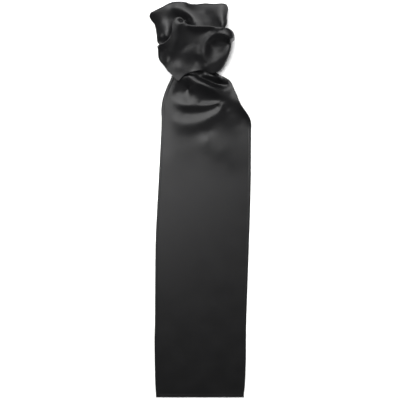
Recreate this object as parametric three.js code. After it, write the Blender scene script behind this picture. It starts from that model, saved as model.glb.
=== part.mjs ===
// A satin neck scarf laid out flat: a long hemmed tail that is gathered at its upper end and
// passes through a loose knot, whose wrap goes all the way round it. Above the wrap the cloth
// comes out as a folded crown, with a hood at the left and an ear at the right.
// Millimetres. X runs across the scarf, Y along it towards the knot, and Z up from the surface
// that it lies on. The origin is the middle of its outline, on that surface.
import * as THREE from "three";

const { clamp, degToRad, lerp, smoothstep } = THREE.MathUtils;

// Driving sizes
const CLOTH = 1.5; // wall of the satin
const GAP = 0.3; // between pieces that lie against each other
const SIDE_HEM = 5;
const HEM_THICK = 2.1; // the cloth is turned over and sewn down
const HEM_PULL = 12; // how far in from the edges the side hems hold the folds down
const LIP_RADIUS = 2.4; // of a folded edge, on its outside
const LIP = { frontTurn: 170, backTurn: 20, frontRun: 4, backRun: 1 };

// Colour and finish
const SATIN = { color: 0x1b1b1d, roughness: 0.42, metalness: 0 };
const HEM_SATIN = { color: 0x161617, roughness: 0.55, metalness: 0 };

// The tail's outline, a row for each section: the place along it, its left and right edges, and
// how far each edge lies off the surface.
const TAIL_SECTIONS = [
  { y: 308, left: -50, right: 23, leftLift: 1.8, rightLift: 1.8 },
  { y: 290, left: -53, right: 27, leftLift: 4, rightLift: 3 },
  { y: 278, left: -56, right: 31, leftLift: 7.5, rightLift: 6 },
  { y: 268.5, left: -60, right: 39.5, leftLift: 9, rightLift: 7.5 },
  { y: 263, left: -62.5, right: 52, leftLift: 9.5, rightLift: 8 },
  { y: 257, left: -64.5, right: 62, leftLift: 9, rightLift: 8.5 },
  { y: 249, left: -68.5, right: 68, leftLift: 8, rightLift: 9.5 },
  { y: 239, left: -73, right: 72, leftLift: 6.5, rightLift: 10.5 },
  { y: 226, left: -78, right: 78, leftLift: 5, rightLift: 11.5 },
  { y: 213, left: -81.5, right: 83, leftLift: 4, rightLift: 10.5 },
  { y: 200, left: -83.5, right: 90, leftLift: 3, rightLift: 8 },
  { y: 187, left: -84, right: 99.5, leftLift: 2.2, rightLift: 5.5 },
  { y: 175, left: -83.5, right: 106.5, leftLift: 1.8, rightLift: 3.5 },
  { y: 163, left: -83.5, right: 109.2, leftLift: 1.5, rightLift: 1.8 },
  { y: 148, left: -84, right: 109.2, leftLift: 1.2, rightLift: 0.8 },
  { y: 106, left: -86, right: 109.2, leftLift: 0.7, rightLift: 0.1 },
  { y: 41, left: -89.5, right: 108.7, leftLift: 0.2, rightLift: 0 },
  { y: -23, left: -93, right: 107.2, leftLift: 0, rightLift: 0 },
  { y: -88, left: -96, right: 105, leftLift: 0, rightLift: 0 },
  { y: -174, left: -97, right: 102, leftLift: 0, rightLift: 0 },
  { y: -260, left: -97.5, right: 99, leftLift: 0, rightLift: 0 },
  { y: -298, left: -98.5, right: 98.5, leftLift: 0, rightLift: 0 },
  { y: -346, left: -98, right: 98, leftLift: 0, rightLift: 0 },
  { y: -389, left: -97, right: 96.5, leftLift: 0, rightLift: 0 },
  { y: -417.5, left: -95.4, right: 94, leftLift: 0, rightLift: 0 },
];
const TAIL_FOOT = { y: -424.8, left: -95, right: 93.5 };
const TAIL_TIED = { from: 262, to: 280 }; // along this stretch the cloth goes into the knot
const TAIL_FLAT = { from: 90, to: 30 }; // and along this one its folds run out
const TAIL_RISE = { tied: 15, flat: 0.3 }; // of the cloth's middle over its edges there
const TAIL_EDGE_ROUND = 6;
const NECK_END = 148; // the place along the tail where its gathered neck, a piece of its own, ends

// Fold lines: crests, valleys and edges that the cloth passes through. A row is a place on a
// line: x, y and the height of the cloth there. The cloth turns across a line with its round.
const TAIL_LINES = [
  {
    name: "left shoulder",
    round: 6,
    rows: [
      [-48, 260.5, 16.5],
      [-56.5, 243.5, 12],
      [-63, 226.5, 9.5],
      [-67, 205, 7.5],
      [-67, 181, 6],
      [-65, 157.5, 5],
      [-63, 131.5, 4],
      [-60.5, 95, 3],
    ],
  },
  {
    name: "slope under the knot",
    round: 6,
    rows: [
      [-42, 258, 17],
      [-38, 243, 12],
      [-25.5, 238, 10],
    ],
  },
  {
    name: "upper valley",
    round: 6,
    rows: [
      [-50, 229, 9],
      [-39, 226.5, 8.5],
      [-25, 222.5, 9.5],
    ],
  },
  {
    name: "spur out of the knot",
    round: 3,
    rows: [
      [-16, 247, 18],
      [-11.5, 232, 14.5],
      [-4.5, 218, 12],
    ],
  },
  {
    name: "upper crescent",
    round: 3,
    rows: [
      [-52, 211, 10.5],
      [-37, 205, 12.5],
      [-22, 202.5, 13],
      [-0.5, 203.5, 13],
      [21, 204, 13],
      [36, 206.5, 13],
      [50.5, 211, 13.5],
    ],
  },
  {
    name: "pocket between the crescents",
    round: 6,
    rows: [
      [-54.5, 196, 8.5],
      [-41.5, 188.5, 8.5],
      [-26.5, 185.5, 8],
      [-9, 185.5, 8],
      [8, 187.5, 8.5],
      [25.5, 195, 10],
      [37, 201, 11],
    ],
  },
  {
    name: "lower crescent",
    round: 6,
    rows: [
      [-52, 168, 8],
      [-30.5, 165, 9],
      [-9, 166, 9.5],
      [10, 172.5, 10],
      [25.5, 181, 10.5],
      [38, 190, 11.5],
      [48.5, 202, 13],
    ],
  },
  {
    name: "foot of the lower crescent",
    round: 8,
    rows: [
      [-43.5, 140.5, 5],
      [-22, 137, 5],
      [-0.5, 145.5, 6],
      [16.5, 155.5, 6.5],
      [31.5, 168, 8],
    ],
  },
  {
    name: "last wrinkle",
    round: 8,
    rows: [
      [16.5, 127.5, 6.5],
      [29.5, 119, 6],
      [44.5, 106, 5.5],
    ],
  },
  {
    name: "long crease down to the right edge",
    round: 2.5,
    rows: [
      [-24, 265, 23],
      [-11.5, 258, 23.5],
      [4, 252, 23.5],
      [19, 245.5, 23],
      [34, 238, 22],
      [44.5, 231.5, 20.5],
      [53, 225, 18.5],
      [62, 217.5, 16],
      [72.5, 205, 13],
      [83.5, 189.5, 9],
      [94, 174.5, 5.5],
    ],
  },
  {
    name: "bulge beside the knot",
    round: 5,
    rows: [
      [12, 269.5, 21],
      [28, 270, 19.5],
      [42, 266, 16.5],
      [54, 257.5, 14.5],
    ],
  },
  {
    name: "right shoulder",
    round: 6,
    rows: [
      [49, 238.5, 13.5],
      [61, 236, 13],
    ],
  },
  {
    name: "slope below the long crease",
    round: 8,
    rows: [
      [-0.5, 239, 20.5],
      [14.5, 230.5, 18.5],
      [29.5, 224, 16.5],
    ],
  },
  {
    name: "right slope",
    round: 8,
    rows: [
      [56, 196, 9.5],
      [68.5, 179, 6.5],
      [59.5, 162, 5.5],
      [83.5, 162, 3.5],
      [85.5, 138, 2.5],
    ],
  },
  {
    name: "last swell",
    round: 10,
    rows: [
      [-43.5, 106, 3.5],
      [-17.5, 106, 3.5],
      [8, 95, 3.5],
      [29.5, 84.5, 3.5],
      [59.5, 78, 3.5],
    ],
  },
  {
    name: "flat cloth",
    round: 10,
    rows: [
      [-65, 30.5, 2],
      [-33, 30.5, 2],
      [10, 30.5, 2],
      [53, 30.5, 2],
      [85.5, 30.5, 2],
    ],
  },
];

// The wrap: its four edges and the fold lines of its front
const WRAP_TOP = [
  [-93, 329, 31],
  [-79, 335, 38],
  [-66, 346, 45.5],
  [-60, 362, 52],
  [-58, 377, 55],
  [-55, 385, 56],
  [-48, 389, 57],
  [-39, 386, 57],
  [-31, 379, 57],
  [-20, 374, 57.5],
  [-5, 373, 58],
  [21, 372.5, 58.5],
  [36, 371.5, 58.5],
  [46, 370.5, 58],
  [54, 370, 56.5],
  [62, 369, 53],
];
const WRAP_FOOT = [
  [-76, 284, 25],
  [-71, 275, 26],
  [-61, 265, 27],
  [-47.5, 249.5, 28],
  [-35, 260.5, 29],
  [-22, 268, 29.5],
  [-7, 272, 31],
  [8, 272, 31],
  [24, 267, 28],
  [42, 271, 24],
];
const WRAP_LEFT = [
  [-93, 329, 31],
  [-91, 317, 26],
  [-90, 305, 22],
  [-85, 294, 21.5],
  [-76, 284, 25],
];
const WRAP_RIGHT = [
  [62, 369, 53],
  [68, 365, 51.5],
  [73, 357, 50],
  [74, 345, 45],
  [68, 335, 36],
  [66, 323, 35],
  [62, 310, 34],
  [57, 297, 31],
  [51, 284, 27],
  [42, 271, 24],
];
const WRAP_EDGE_ROUND = 4;
const WRAP_SIDE = { share: 0.85, tuck: 12, roll: 5 }; // share of the front's height at a side
const WRAP_BACK_DRAW = 14; // how far the back's edges lie inside the front's, along Y
const WRAP_LINES = [
  {
    name: "hollow below the lip",
    round: 5,
    rows: [
      [-26.5, 364, 54],
      [-11.5, 361.5, 54.5],
      [6, 361.5, 55],
    ],
  },
  {
    name: "slope to the upper left edge",
    round: 7,
    rows: [
      [-43.5, 357.5, 52],
      [-52, 342.5, 47],
      [-62, 330, 41.5],
      [-68, 320, 37],
    ],
  },
  {
    name: "valley above the lobe",
    round: 5,
    rows: [
      [-71, 308, 34],
      [-60, 312, 36],
      [-44, 322, 39.5],
      [-27, 331.5, 43],
      [-10, 339.5, 45.5],
    ],
  },
  {
    name: "top of the lobe",
    round: 7,
    rows: [
      [-62, 299, 33],
      [-50, 303, 34.5],
      [-36, 312, 37.5],
      [-20, 321, 39.5],
    ],
  },
  {
    name: "dish in the lobe",
    round: 8,
    rows: [
      [-39, 289, 31],
      [-24, 291, 31],
      [-8, 296, 32.5],
    ],
  },
  {
    name: "left of the rim",
    round: 4,
    rows: [
      [32, 360.5, 56],
      [21, 355, 54],
      [12, 347, 50.5],
      [6, 338, 47],
      [3, 328, 43.5],
      [2, 316, 40.5],
      [3, 304, 38],
    ],
  },
  {
    name: "crest along the foot",
    round: 6,
    rows: [
      [-58.5, 280, 29.5],
      [-45.5, 270.5, 29.5],
      [-30.5, 273.5, 29.5],
      [-15.5, 277, 31],
      [-0.5, 280, 32.5],
      [12.5, 284.5, 35],
      [25.5, 291, 37.5],
      [38, 299.5, 38],
      [49, 310, 38],
    ],
  },
  {
    name: "rim of the hollow",
    round: 2.5,
    rows: [
      [46, 362, 59],
      [38.5, 356, 57.5],
      [28.5, 348.5, 54.5],
      [20, 340, 51.5],
      [13.5, 330.5, 49],
      [11, 321, 47],
      [11, 310, 45],
      [13, 299.5, 42],
    ],
  },
  {
    name: "roll at the right shoulder",
    round: 3,
    rows: [
      [47, 360, 59],
      [56, 356.5, 59],
      [64, 351.5, 58],
      [70, 345, 55],
    ],
  },
  {
    name: "lip of the roll",
    round: 3,
    rows: [
      [41, 352, 57],
      [49, 350.5, 57.5],
      [57, 347, 57],
      [65, 342, 54.5],
    ],
  },
  {
    name: "arc under the roll",
    round: 4,
    rows: [
      [38, 342.5, 47],
      [48, 341, 44.5],
      [59, 337, 40],
    ],
  },
  {
    name: "hollow at the right",
    round: 7,
    rows: [
      [22, 329.5, 45],
      [21, 317.5, 42.5],
      [25.5, 306, 40.5],
    ],
  },
  {
    name: "right of the hollow",
    round: 7,
    rows: [
      [42.5, 325, 40.5],
      [43.5, 314.5, 39.5],
    ],
  },
];

// The crown: its outline from the left end of its mouth round to the right end, its mouth, which
// lies inside the wrap, and the fold lines between them
const CROWN_OUTLINE = [
  [-74, 316, 11],
  [-79, 324, 10],
  [-86, 331, 9],
  [-91.5, 337, 8],
  [-93.5, 345, 7.5],
  [-94, 354, 7.5],
  [-96, 367, 7],
  [-99, 377, 8],
  [-105.5, 385, 10],
  [-109.2, 393, 13],
  [-106.5, 401, 17.5],
  [-94, 407.5, 20.5],
  [-80, 414.5, 23],
  [-68, 421, 23],
  [-56, 424.3, 24],
  [-44, 424.8, 24.5],
  [-32, 424, 23],
  [-22, 420.5, 20],
  [-9, 419.5, 16],
  [10, 421.5, 14],
  [30, 420.5, 12.5],
  [47, 421.5, 12.5],
  [56.5, 418.5, 16],
  [60, 408.5, 19],
  [58.5, 399, 21.5],
  [57.5, 390, 23.5],
  [58, 381, 25],
  [56, 373, 26],
  [52, 365, 26],
  [50, 356, 24],
  [48, 344, 22],
];
const CROWN_MOUTH = [
  [-60, 318],
  [-40, 322],
  [-18, 327],
  [10, 333],
  [34, 338.5],
];
const CROWN_EDGE_ROUND = 5;
const CROWN_SIDE = { share: 0.75, tuck: 6, roll: 4 }; // share of its height at the outline
const CROWN_UNDER = { from: 372, to: 352, height: 2.3 }; // its back rises over the wrap's back
const CROWN_LINES = [
  {
    name: "rim of the hood",
    round: 5,
    rows: [
      [-52, 411, 27],
      [-41.5, 409, 27.5],
      [-30.5, 403.5, 28],
      [-22, 396, 28.5],
      [-17.5, 386.5, 29.5],
      [-15.5, 375.5, 31.5],
    ],
  },
  {
    name: "floor of the hood",
    round: 6,
    rows: [
      [-62, 388, 16],
      [-48, 391, 16.5],
      [-29.5, 384, 19.5],
    ],
  },
  {
    name: "puff below the hood",
    round: 6,
    rows: [
      [-71, 380, 18],
      [-70, 371, 19.5],
      [-70, 362, 20.5],
      [-72, 353.5, 19.5],
    ],
  },
  {
    name: "left side of the puff",
    round: 6,
    rows: [
      [-91, 384, 12.5],
      [-89.5, 372, 14],
      [-90, 360, 14],
    ],
  },
  {
    name: "crease beside the puff",
    round: 4,
    rows: [
      [-60, 380, 15],
      [-59, 370, 15],
      [-61, 359.5, 15],
    ],
  },
  {
    name: "valley above the wrap",
    round: 5,
    rows: [
      [-71.5, 350, 17],
      [-86.5, 350, 13],
    ],
  },
  {
    name: "small fold against the wrap",
    round: 4,
    rows: [
      [-71.5, 340, 12.5],
      [-84.5, 339, 10],
    ],
  },
  {
    name: "upright fold in the middle",
    round: 7,
    rows: [
      [-5, 407, 22.5],
      [8, 402.5, 23],
      [8, 393, 26],
      [10, 381, 30.5],
    ],
  },
  {
    name: "valley beside the ear",
    round: 7,
    rows: [
      [36, 407, 15.5],
      [42, 396, 17],
      [45, 383, 19.5],
      [46, 373, 22],
    ],
  },
  {
    name: "inside the knot, at its lip",
    round: 8,
    rows: [
      [-13.5, 366, 38],
      [12.5, 366, 38],
      [36, 366, 32],
    ],
  },
  {
    name: "inside the knot, at its left",
    round: 8,
    rows: [
      [-39, 368, 23],
      [-52, 350, 18],
      [-73.5, 329.5, 10],
    ],
  },
  {
    name: "beside the mouth",
    round: 8,
    rows: [
      [-52, 325, 22],
      [-22, 334, 28],
      [8, 342.5, 32],
      [34, 346.5, 30],
    ],
  },
];

// How finely each surface is divided
const CENTRE_STEP = 7; // between the centres on a fold line, or closer
const CENTRE_SHARE = 1.2; // of its round, on a line with a small one
const CENTRE_SLACK = 0.001; // how far the cloth may miss a centre, against its weight
const TAIL_STEP = { folded: 9, flat: 60 };
const TAIL_FOLDED_TO = 100; // the place along the tail where its steps get longer
const TAIL_COLUMNS = 18;
const WRAP_ROWS = 18;
const WRAP_COLUMNS = 31;
const CROWN_ROWS = 38;
const CROWN_COLUMNS = 11;
const CROWN_CROWDING = 1.5; // of its columns towards its edge
const SIDE_STEPS = 3;
const BACK_STEPS = 5;
const LIP_STEPS = 4;

// A smooth curve through rows [x, y, z], where z is 0 if it isn't given
function curveThrough(rows) {
  const points = rows.map(([x, y, z = 0]) => new THREE.Vector3(x, y, z));
  return new THREE.CatmullRomCurve3(points, false, "catmullrom", 0.5);
}

// Points evenly spaced along a smooth curve, in plan
function planAlong(rows, count) {
  return curveThrough(rows.map(([x, y]) => [x, y])).getSpacedPoints(count);
}

// Points on a fold line, closer together where the cloth turns sharply across it
function centresOn({ round, rows }) {
  const curve = curveThrough(rows);
  let length = 0;
  for (let i = 1; i < rows.length; i++)
    length += Math.hypot(rows[i][0] - rows[i - 1][0], rows[i][1] - rows[i - 1][1]);
  const steps = Math.round(length / Math.min(CENTRE_STEP, CENTRE_SHARE * round));
  const count = Math.max(rows.length - 1, steps);
  return Array.from({ length: count + 1 }, (_, i) => ({ ...curve.getPoint(i / count), round }));
}

// The answer of some linear equations, each a row of factors with its right side at the end, by
// Gaussian elimination
function solved(rows) {
  const size = rows.length;
  for (let k = 0; k < size; k++) {
    let best = k;
    for (let i = k + 1; i < size; i++)
      if (Math.abs(rows[i][k]) > Math.abs(rows[best][k])) best = i;
    [rows[k], rows[best]] = [rows[best], rows[k]];
    for (let i = k + 1; i < size; i++) {
      const factor = rows[i][k] / rows[k][k];
      for (let j = k; j <= size; j++) rows[i][j] -= factor * rows[k][j];
    }
  }
  const answer = new Array(size).fill(0);
  for (let k = size - 1; k >= 0; k--) {
    const known = answer.reduce((sum, value, j) => sum + value * rows[k][j], 0);
    answer[k] = (rows[k][size] - known) / rows[k][k];
  }
  return answer;
}

// Cloth as one smooth surface through fold lines, as a height worked out from x and y: the sum
// over all centres of weight * sqrt(distance^2 + round^2), plus a + b x + c y, with the weights
// for which it passes through every centre
function drapeThrough(lines) {
  const centres = lines.flatMap(centresOn);
  const terms = (x, y) => [...centres.map((p) => Math.hypot(x - p.x, y - p.y, p.round)), 1, x, y];
  const throughCentres = centres.map((p, i) => {
    const factors = terms(p.x, p.y);
    factors[i] -= CENTRE_SLACK;
    return [...factors, p.z];
  });
  const balanced = [() => 1, (p) => p.x, (p) => p.y].map((part) => [
    ...centres.map(part),
    ...[0, 0, 0, 0],
  ]);
  const weights = solved([...throughCentres, ...balanced]);
  return (x, y) => terms(x, y).reduce((sum, term, i) => sum + weights[i] * term, 0);
}

// How far the cloth has risen at a distance from a side where it stands upright: a quarter of
// an ellipse
function rollShare(distance, roll) {
  return Math.sqrt(1 - (1 - clamp(distance / roll, 0, 1)) ** 2);
}

// Points from a side's edge down and inwards to its foot, on a quarter of an ellipse
function sidePoints(edge, foot) {
  return Array.from({ length: SIDE_STEPS }, (_, i) => {
    const angle = ((i + 1) / SIDE_STEPS) * (Math.PI / 2);
    const inwards = 1 - Math.cos(angle);
    return new THREE.Vector3(
      lerp(edge.x, foot.x, inwards),
      lerp(edge.y, foot.y, inwards),
      lerp(edge.z, foot.z, Math.sin(angle)),
    );
  });
}

// The outward direction at each point of a grid, whose rows may close on themselves
function outwards(grid, closed) {
  const [rows, columns] = [grid.length, grid[0].length];
  return grid.map((row, r) =>
    row.map((_, c) => {
      const before = closed ? (c + columns - 1) % columns : Math.max(c - 1, 0);
      const after = closed ? (c + 1) % columns : Math.min(c + 1, columns - 1);
      const across = row[after].clone().sub(row[before]);
      const along = grid[Math.min(r + 1, rows - 1)][c].clone().sub(grid[Math.max(r - 1, 0)][c]);
      return along.cross(across).normalize();
    }),
  );
}

// The rows that fold an edge over: an arc away from the cloth's outside, and a short run back
// under it. The front is folded right over and the back hardly at all.
function foldedEdge(edge, inner, directions) {
  const rows = Array.from({ length: LIP_STEPS + 1 }, () => []);
  edge.forEach((end, c) => {
    const out = directions[c];
    const ahead = end.clone().sub(inner[c]);
    ahead.addScaledVector(out, -ahead.dot(out)).normalize();
    const front = (1 + out.z) / 2;
    const turn = degToRad(lerp(LIP.backTurn, LIP.frontTurn, front));
    for (let k = 1; k <= LIP_STEPS; k++) {
      const angle = (turn * k) / LIP_STEPS;
      const point = end.clone().addScaledVector(ahead, LIP_RADIUS * Math.sin(angle));
      rows[k - 1].push(point.addScaledVector(out, LIP_RADIUS * (Math.cos(angle) - 1)));
    }
    const run = lerp(LIP.backRun, LIP.frontRun, front);
    const last = rows[LIP_STEPS - 1][c].clone();
    last.addScaledVector(ahead, run * Math.cos(turn));
    rows[LIP_STEPS].push(last.addScaledVector(out, -run * Math.sin(turn)));
  });
  return rows;
}

// One closed wall of cloth behind a grid of points on its outside
function clothGeometry(grid, thickness, closed = false) {
  const directions = outwards(grid, closed);
  const [rows, columns] = [grid.length, grid[0].length];
  const walls = [0, -thickness].map((depth) =>
    grid.map((row, r) => row.map((p, c) => p.clone().addScaledVector(directions[r][c], depth))),
  );
  const index = [];
  const outside = (r, c) => r * columns + (c % columns);
  const inside = (r, c) => rows * columns + outside(r, c);
  const quad = (a, b, c, d) => index.push(a, b, c, a, c, d);
  const lastRow = rows - 1;
  const lastColumn = closed ? columns : columns - 1;
  for (let r = 0; r < lastRow; r++)
    for (let c = 0; c < lastColumn; c++) {
      quad(outside(r, c), outside(r + 1, c), outside(r + 1, c + 1), outside(r, c + 1));
      quad(inside(r, c), inside(r, c + 1), inside(r + 1, c + 1), inside(r + 1, c));
    }
  for (let c = 0; c < lastColumn; c++) {
    quad(outside(0, c), outside(0, c + 1), inside(0, c + 1), inside(0, c));
    quad(outside(lastRow, c), inside(lastRow, c), inside(lastRow, c + 1), outside(lastRow, c + 1));
  }
  for (let r = 0; r < lastRow && !closed; r++) {
    quad(outside(r, 0), inside(r, 0), inside(r + 1, 0), outside(r + 1, 0));
    quad(
      outside(r, lastColumn),
      outside(r + 1, lastColumn),
      inside(r + 1, lastColumn),
      inside(r, lastColumn),
    );
  }
  const positions = walls.flat(2).flatMap((p) => p.toArray());
  const geometry = new THREE.BufferGeometry();
  geometry.setAttribute("position", new THREE.Float32BufferAttribute(positions, 3));
  geometry.setIndex(index);
  geometry.computeVertexNormals();
  return geometry;
}

function namedMesh(name, geometry, finish) {
  const mesh = new THREE.Mesh(geometry, new THREE.MeshStandardMaterial(finish));
  mesh.name = name;
  return mesh;
}

// The tail's sections from the knot down to its foot, each with both edges
function tailSections() {
  const edgeOf = (side) =>
    curveThrough(TAIL_SECTIONS.map((row) => [row[side], row.y, row[`${side}Lift`]]));
  const left = edgeOf("left");
  const right = edgeOf("right");
  const spans = TAIL_SECTIONS.length - 1;
  const places = [0];
  for (let i = 0; i < spans; i++) {
    const length = TAIL_SECTIONS[i].y - TAIL_SECTIONS[i + 1].y;
    const step = TAIL_SECTIONS[i].y > TAIL_FOLDED_TO ? TAIL_STEP.folded : TAIL_STEP.flat;
    const steps = Math.round(length / step) || 1;
    for (let k = 1; k <= steps; k++) places.push((i + k / steps) / spans);
  }
  return places.map((place) => {
    const section = { left: left.getPoint(place), right: right.getPoint(place) };
    section.left.z = Math.max(0, section.left.z);
    section.right.z = Math.max(0, section.right.z);
    return section;
  });
}

// The fold lines of the tail, with the two edges between which it is draped
function tailDrape() {
  const low = 2 * TAIL_FLAT.to - TAIL_FLAT.from;
  const draped = TAIL_SECTIONS.filter(({ y }) => y > low && y < TAIL_TIED.to);
  const edges = ["left", "right"].map((side) => ({
    round: TAIL_EDGE_ROUND,
    rows: draped.map((row) => [row[side], row.y, row[`${side}Lift`] + CLOTH]),
  }));
  return drapeThrough([...edges, ...TAIL_LINES]);
}

// The cloth between the hems, along some of the tail's sections. Inside the knot and on the flat
// part it is half an ellipse across each section, and between them it is draped. The hems hold
// its sides down.
function tailPanel(sections, drape) {
  const inset = SIDE_HEM + GAP;
  const grid = sections.map(({ left, right }) => {
    const tied = smoothstep(left.y, TAIL_TIED.from, TAIL_TIED.to);
    const flat = 1 - smoothstep(left.y, TAIL_FLAT.to, TAIL_FLAT.from);
    const rise = lerp(TAIL_RISE.flat, TAIL_RISE.tied, tied);
    return Array.from({ length: TAIL_COLUMNS + 1 }, (_, c) => {
      const x = lerp(left.x + inset, right.x - inset, c / TAIL_COLUMNS);
      const share = (x - left.x) / (right.x - left.x);
      const edge = lerp(left.z, right.z, share) + CLOTH;
      const plain = edge + rise * Math.sqrt(1 - (2 * share - 1) ** 2);
      const free = lerp(drape(x, left.y), plain, Math.max(tied, flat));
      const inwards = Math.min(x - left.x, right.x - x);
      const height = lerp(edge, free, smoothstep(inwards, inset, HEM_PULL));
      return new THREE.Vector3(x, left.y, height);
    });
  });
  return clothGeometry(grid, CLOTH);
}

// The section that ends a piece at a gap above another one
function aboveGap({ left, right }) {
  const up = new THREE.Vector3(0, GAP, 0);
  return { left: left.clone().add(up), right: right.clone().add(up) };
}

// A side hem: a flat strip along one edge of the tail
function sideHem(sections, side) {
  const grid = sections.map((section) => {
    const edge = section[side];
    const xs = side === "left" ? [edge.x, edge.x + SIDE_HEM] : [edge.x - SIDE_HEM, edge.x];
    return xs.map((x) => new THREE.Vector3(x, edge.y, edge.z + HEM_THICK));
  });
  return clothGeometry(grid, HEM_THICK);
}

// The hem across the tail's foot
function footHem(seam) {
  const rows = [
    { y: seam.left.y - GAP, left: seam.left.x, right: seam.right.x },
    { y: TAIL_FOOT.y, left: TAIL_FOOT.left, right: TAIL_FOOT.right },
  ];
  const grid = rows.map(({ y, left, right }) =>
    [left, right].map((x) => new THREE.Vector3(x, y, HEM_THICK)),
  );
  return clothGeometry(grid, HEM_THICK);
}

// The wrap, closed all the way round: its front is a patch between four edges, its sides stand
// on the surface, and its back lies flat on it.
function knotWrap() {
  const top = planAlong(WRAP_TOP, WRAP_COLUMNS);
  const foot = planAlong(WRAP_FOOT, WRAP_COLUMNS);
  const left = planAlong(WRAP_LEFT, WRAP_ROWS);
  const right = planAlong(WRAP_RIGHT, WRAP_ROWS);
  const inner = [WRAP_LEFT.slice(1, -1), WRAP_RIGHT.slice(1, -1)]; // their ends are the others'
  const edges = [WRAP_TOP, WRAP_FOOT, ...inner].map((rows) => ({ round: WRAP_EDGE_ROUND, rows }));
  const drape = drapeThrough([...edges, ...WRAP_LINES]);
  const lipShare = LIP_RADIUS / left[0].distanceTo(left[WRAP_ROWS]);
  const grid = [];
  for (let r = 0; r <= WRAP_ROWS; r++) {
    const v = lerp(lipShare, 1 - lipShare, r / WRAP_ROWS);
    const row = [];
    for (let c = 0; c <= WRAP_COLUMNS; c++) {
      const u = c / WRAP_COLUMNS;
      const point = top[c].clone().lerp(foot[c], v);
      point.add(left[r].clone().lerp(right[r], u));
      const cornersTop = top[0].clone().lerp(top[WRAP_COLUMNS], u);
      const cornersFoot = foot[0].clone().lerp(foot[WRAP_COLUMNS], u);
      point.sub(cornersTop.lerp(cornersFoot, r / WRAP_ROWS));
      row.push(point);
    }
    const [leftX, rightX] = [row[0].x, row[WRAP_COLUMNS].x];
    for (const point of row) {
      const inwards = Math.min(point.x - leftX, rightX - point.x);
      const share = lerp(WRAP_SIDE.share, 1, rollShare(inwards, WRAP_SIDE.roll));
      point.z = share * drape(point.x, point.y);
    }
    const draw = lerp(-WRAP_BACK_DRAW, WRAP_BACK_DRAW, r / WRAP_ROWS);
    const backRight = new THREE.Vector3(rightX - WRAP_SIDE.tuck, row[WRAP_COLUMNS].y + draw, 0);
    const backLeft = new THREE.Vector3(leftX + WRAP_SIDE.tuck, row[0].y + draw, 0);
    row.push(...sidePoints(row[WRAP_COLUMNS], backRight));
    for (let k = 1; k < BACK_STEPS; k++) row.push(backRight.clone().lerp(backLeft, k / BACK_STEPS));
    row.push(...sidePoints(row[0], backLeft).reverse());
    grid.push(row);
  }
  const directions = outwards(grid, true);
  const last = WRAP_ROWS;
  const above = foldedEdge(grid[0], grid[1], directions[0]).reverse();
  const below = foldedEdge(grid[last], grid[last - 1], directions[last]);
  return clothGeometry([...above, ...grid, ...below], CLOTH, true);
}

// The crown: a profile carried along its outline, from the upper side of its mouth out to the
// edge, round it and back underneath to the lower side of the mouth
function knotCrown() {
  const outline = planAlong(CROWN_OUTLINE, CROWN_ROWS);
  const mouth = planAlong(CROWN_MOUTH, CROWN_ROWS);
  const under = (y) => CROWN_UNDER.height * (1 - smoothstep(y, CROWN_UNDER.to, CROWN_UNDER.from));
  const drape = drapeThrough([{ round: CROWN_EDGE_ROUND, rows: CROWN_OUTLINE }, ...CROWN_LINES]);
  const grid = outline.map((edge, w) => {
    const length = edge.distanceTo(mouth[w]);
    const row = [];
    for (let c = 0; c <= CROWN_COLUMNS; c++) {
      const along = 1 - (1 - c / CROWN_COLUMNS) ** CROWN_CROWDING;
      const point = mouth[w].clone().lerp(edge, along);
      const rolled = rollShare((1 - along) * length, CROWN_SIDE.roll);
      point.z = drape(point.x, point.y) * lerp(CROWN_SIDE.share, 1, rolled);
      row.push(point);
    }
    const foot = edge.clone().lerp(mouth[w], CROWN_SIDE.tuck / length);
    foot.z = under(foot.y);
    row.push(...sidePoints(row[CROWN_COLUMNS], foot));
    for (let k = 1; k <= BACK_STEPS; k++) {
      const point = foot.clone().lerp(mouth[w], k / BACK_STEPS);
      point.z = under(point.y);
      row.push(point);
    }
    return row;
  });
  return clothGeometry(grid, CLOTH);
}

const sections = tailSections();
const drape = tailDrape();
const neckCount = sections.findIndex(({ left }) => left.y < NECK_END + GAP);
const neckSections = [...sections.slice(0, neckCount), aboveGap(sections[neckCount])];
const scarf = new THREE.Group();
scarf.add(
  namedMesh("neck", tailPanel(neckSections, drape), SATIN),
  namedMesh("tail", tailPanel(sections.slice(neckCount), drape), SATIN),
  namedMesh("hem_left", sideHem(sections, "left"), HEM_SATIN),
  namedMesh("hem_right", sideHem(sections, "right"), HEM_SATIN),
  namedMesh("hem_foot", footHem(sections.at(-1)), HEM_SATIN),
  namedMesh("knot_wrap", knotWrap(), SATIN),
  namedMesh("knot_crown", knotCrown(), SATIN),
);

export default scarf;
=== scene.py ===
"""A plain black satin neck scarf, laid out flat, with its upper end tied in a loose knot.

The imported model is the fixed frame. Every piece here is a surface worked out with numpy on a
grid, in millimetres, in the frame's own axes: X across the scarf, Y along it towards the knot
and Z up from the floor. The folds are drawn as a dressmaker would chalk them: lines along the
crests, the valleys and the edges, each with its heights, and the cloth passes through them all.
"""
import logging
from dataclasses import dataclass
from enum import Enum

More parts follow.
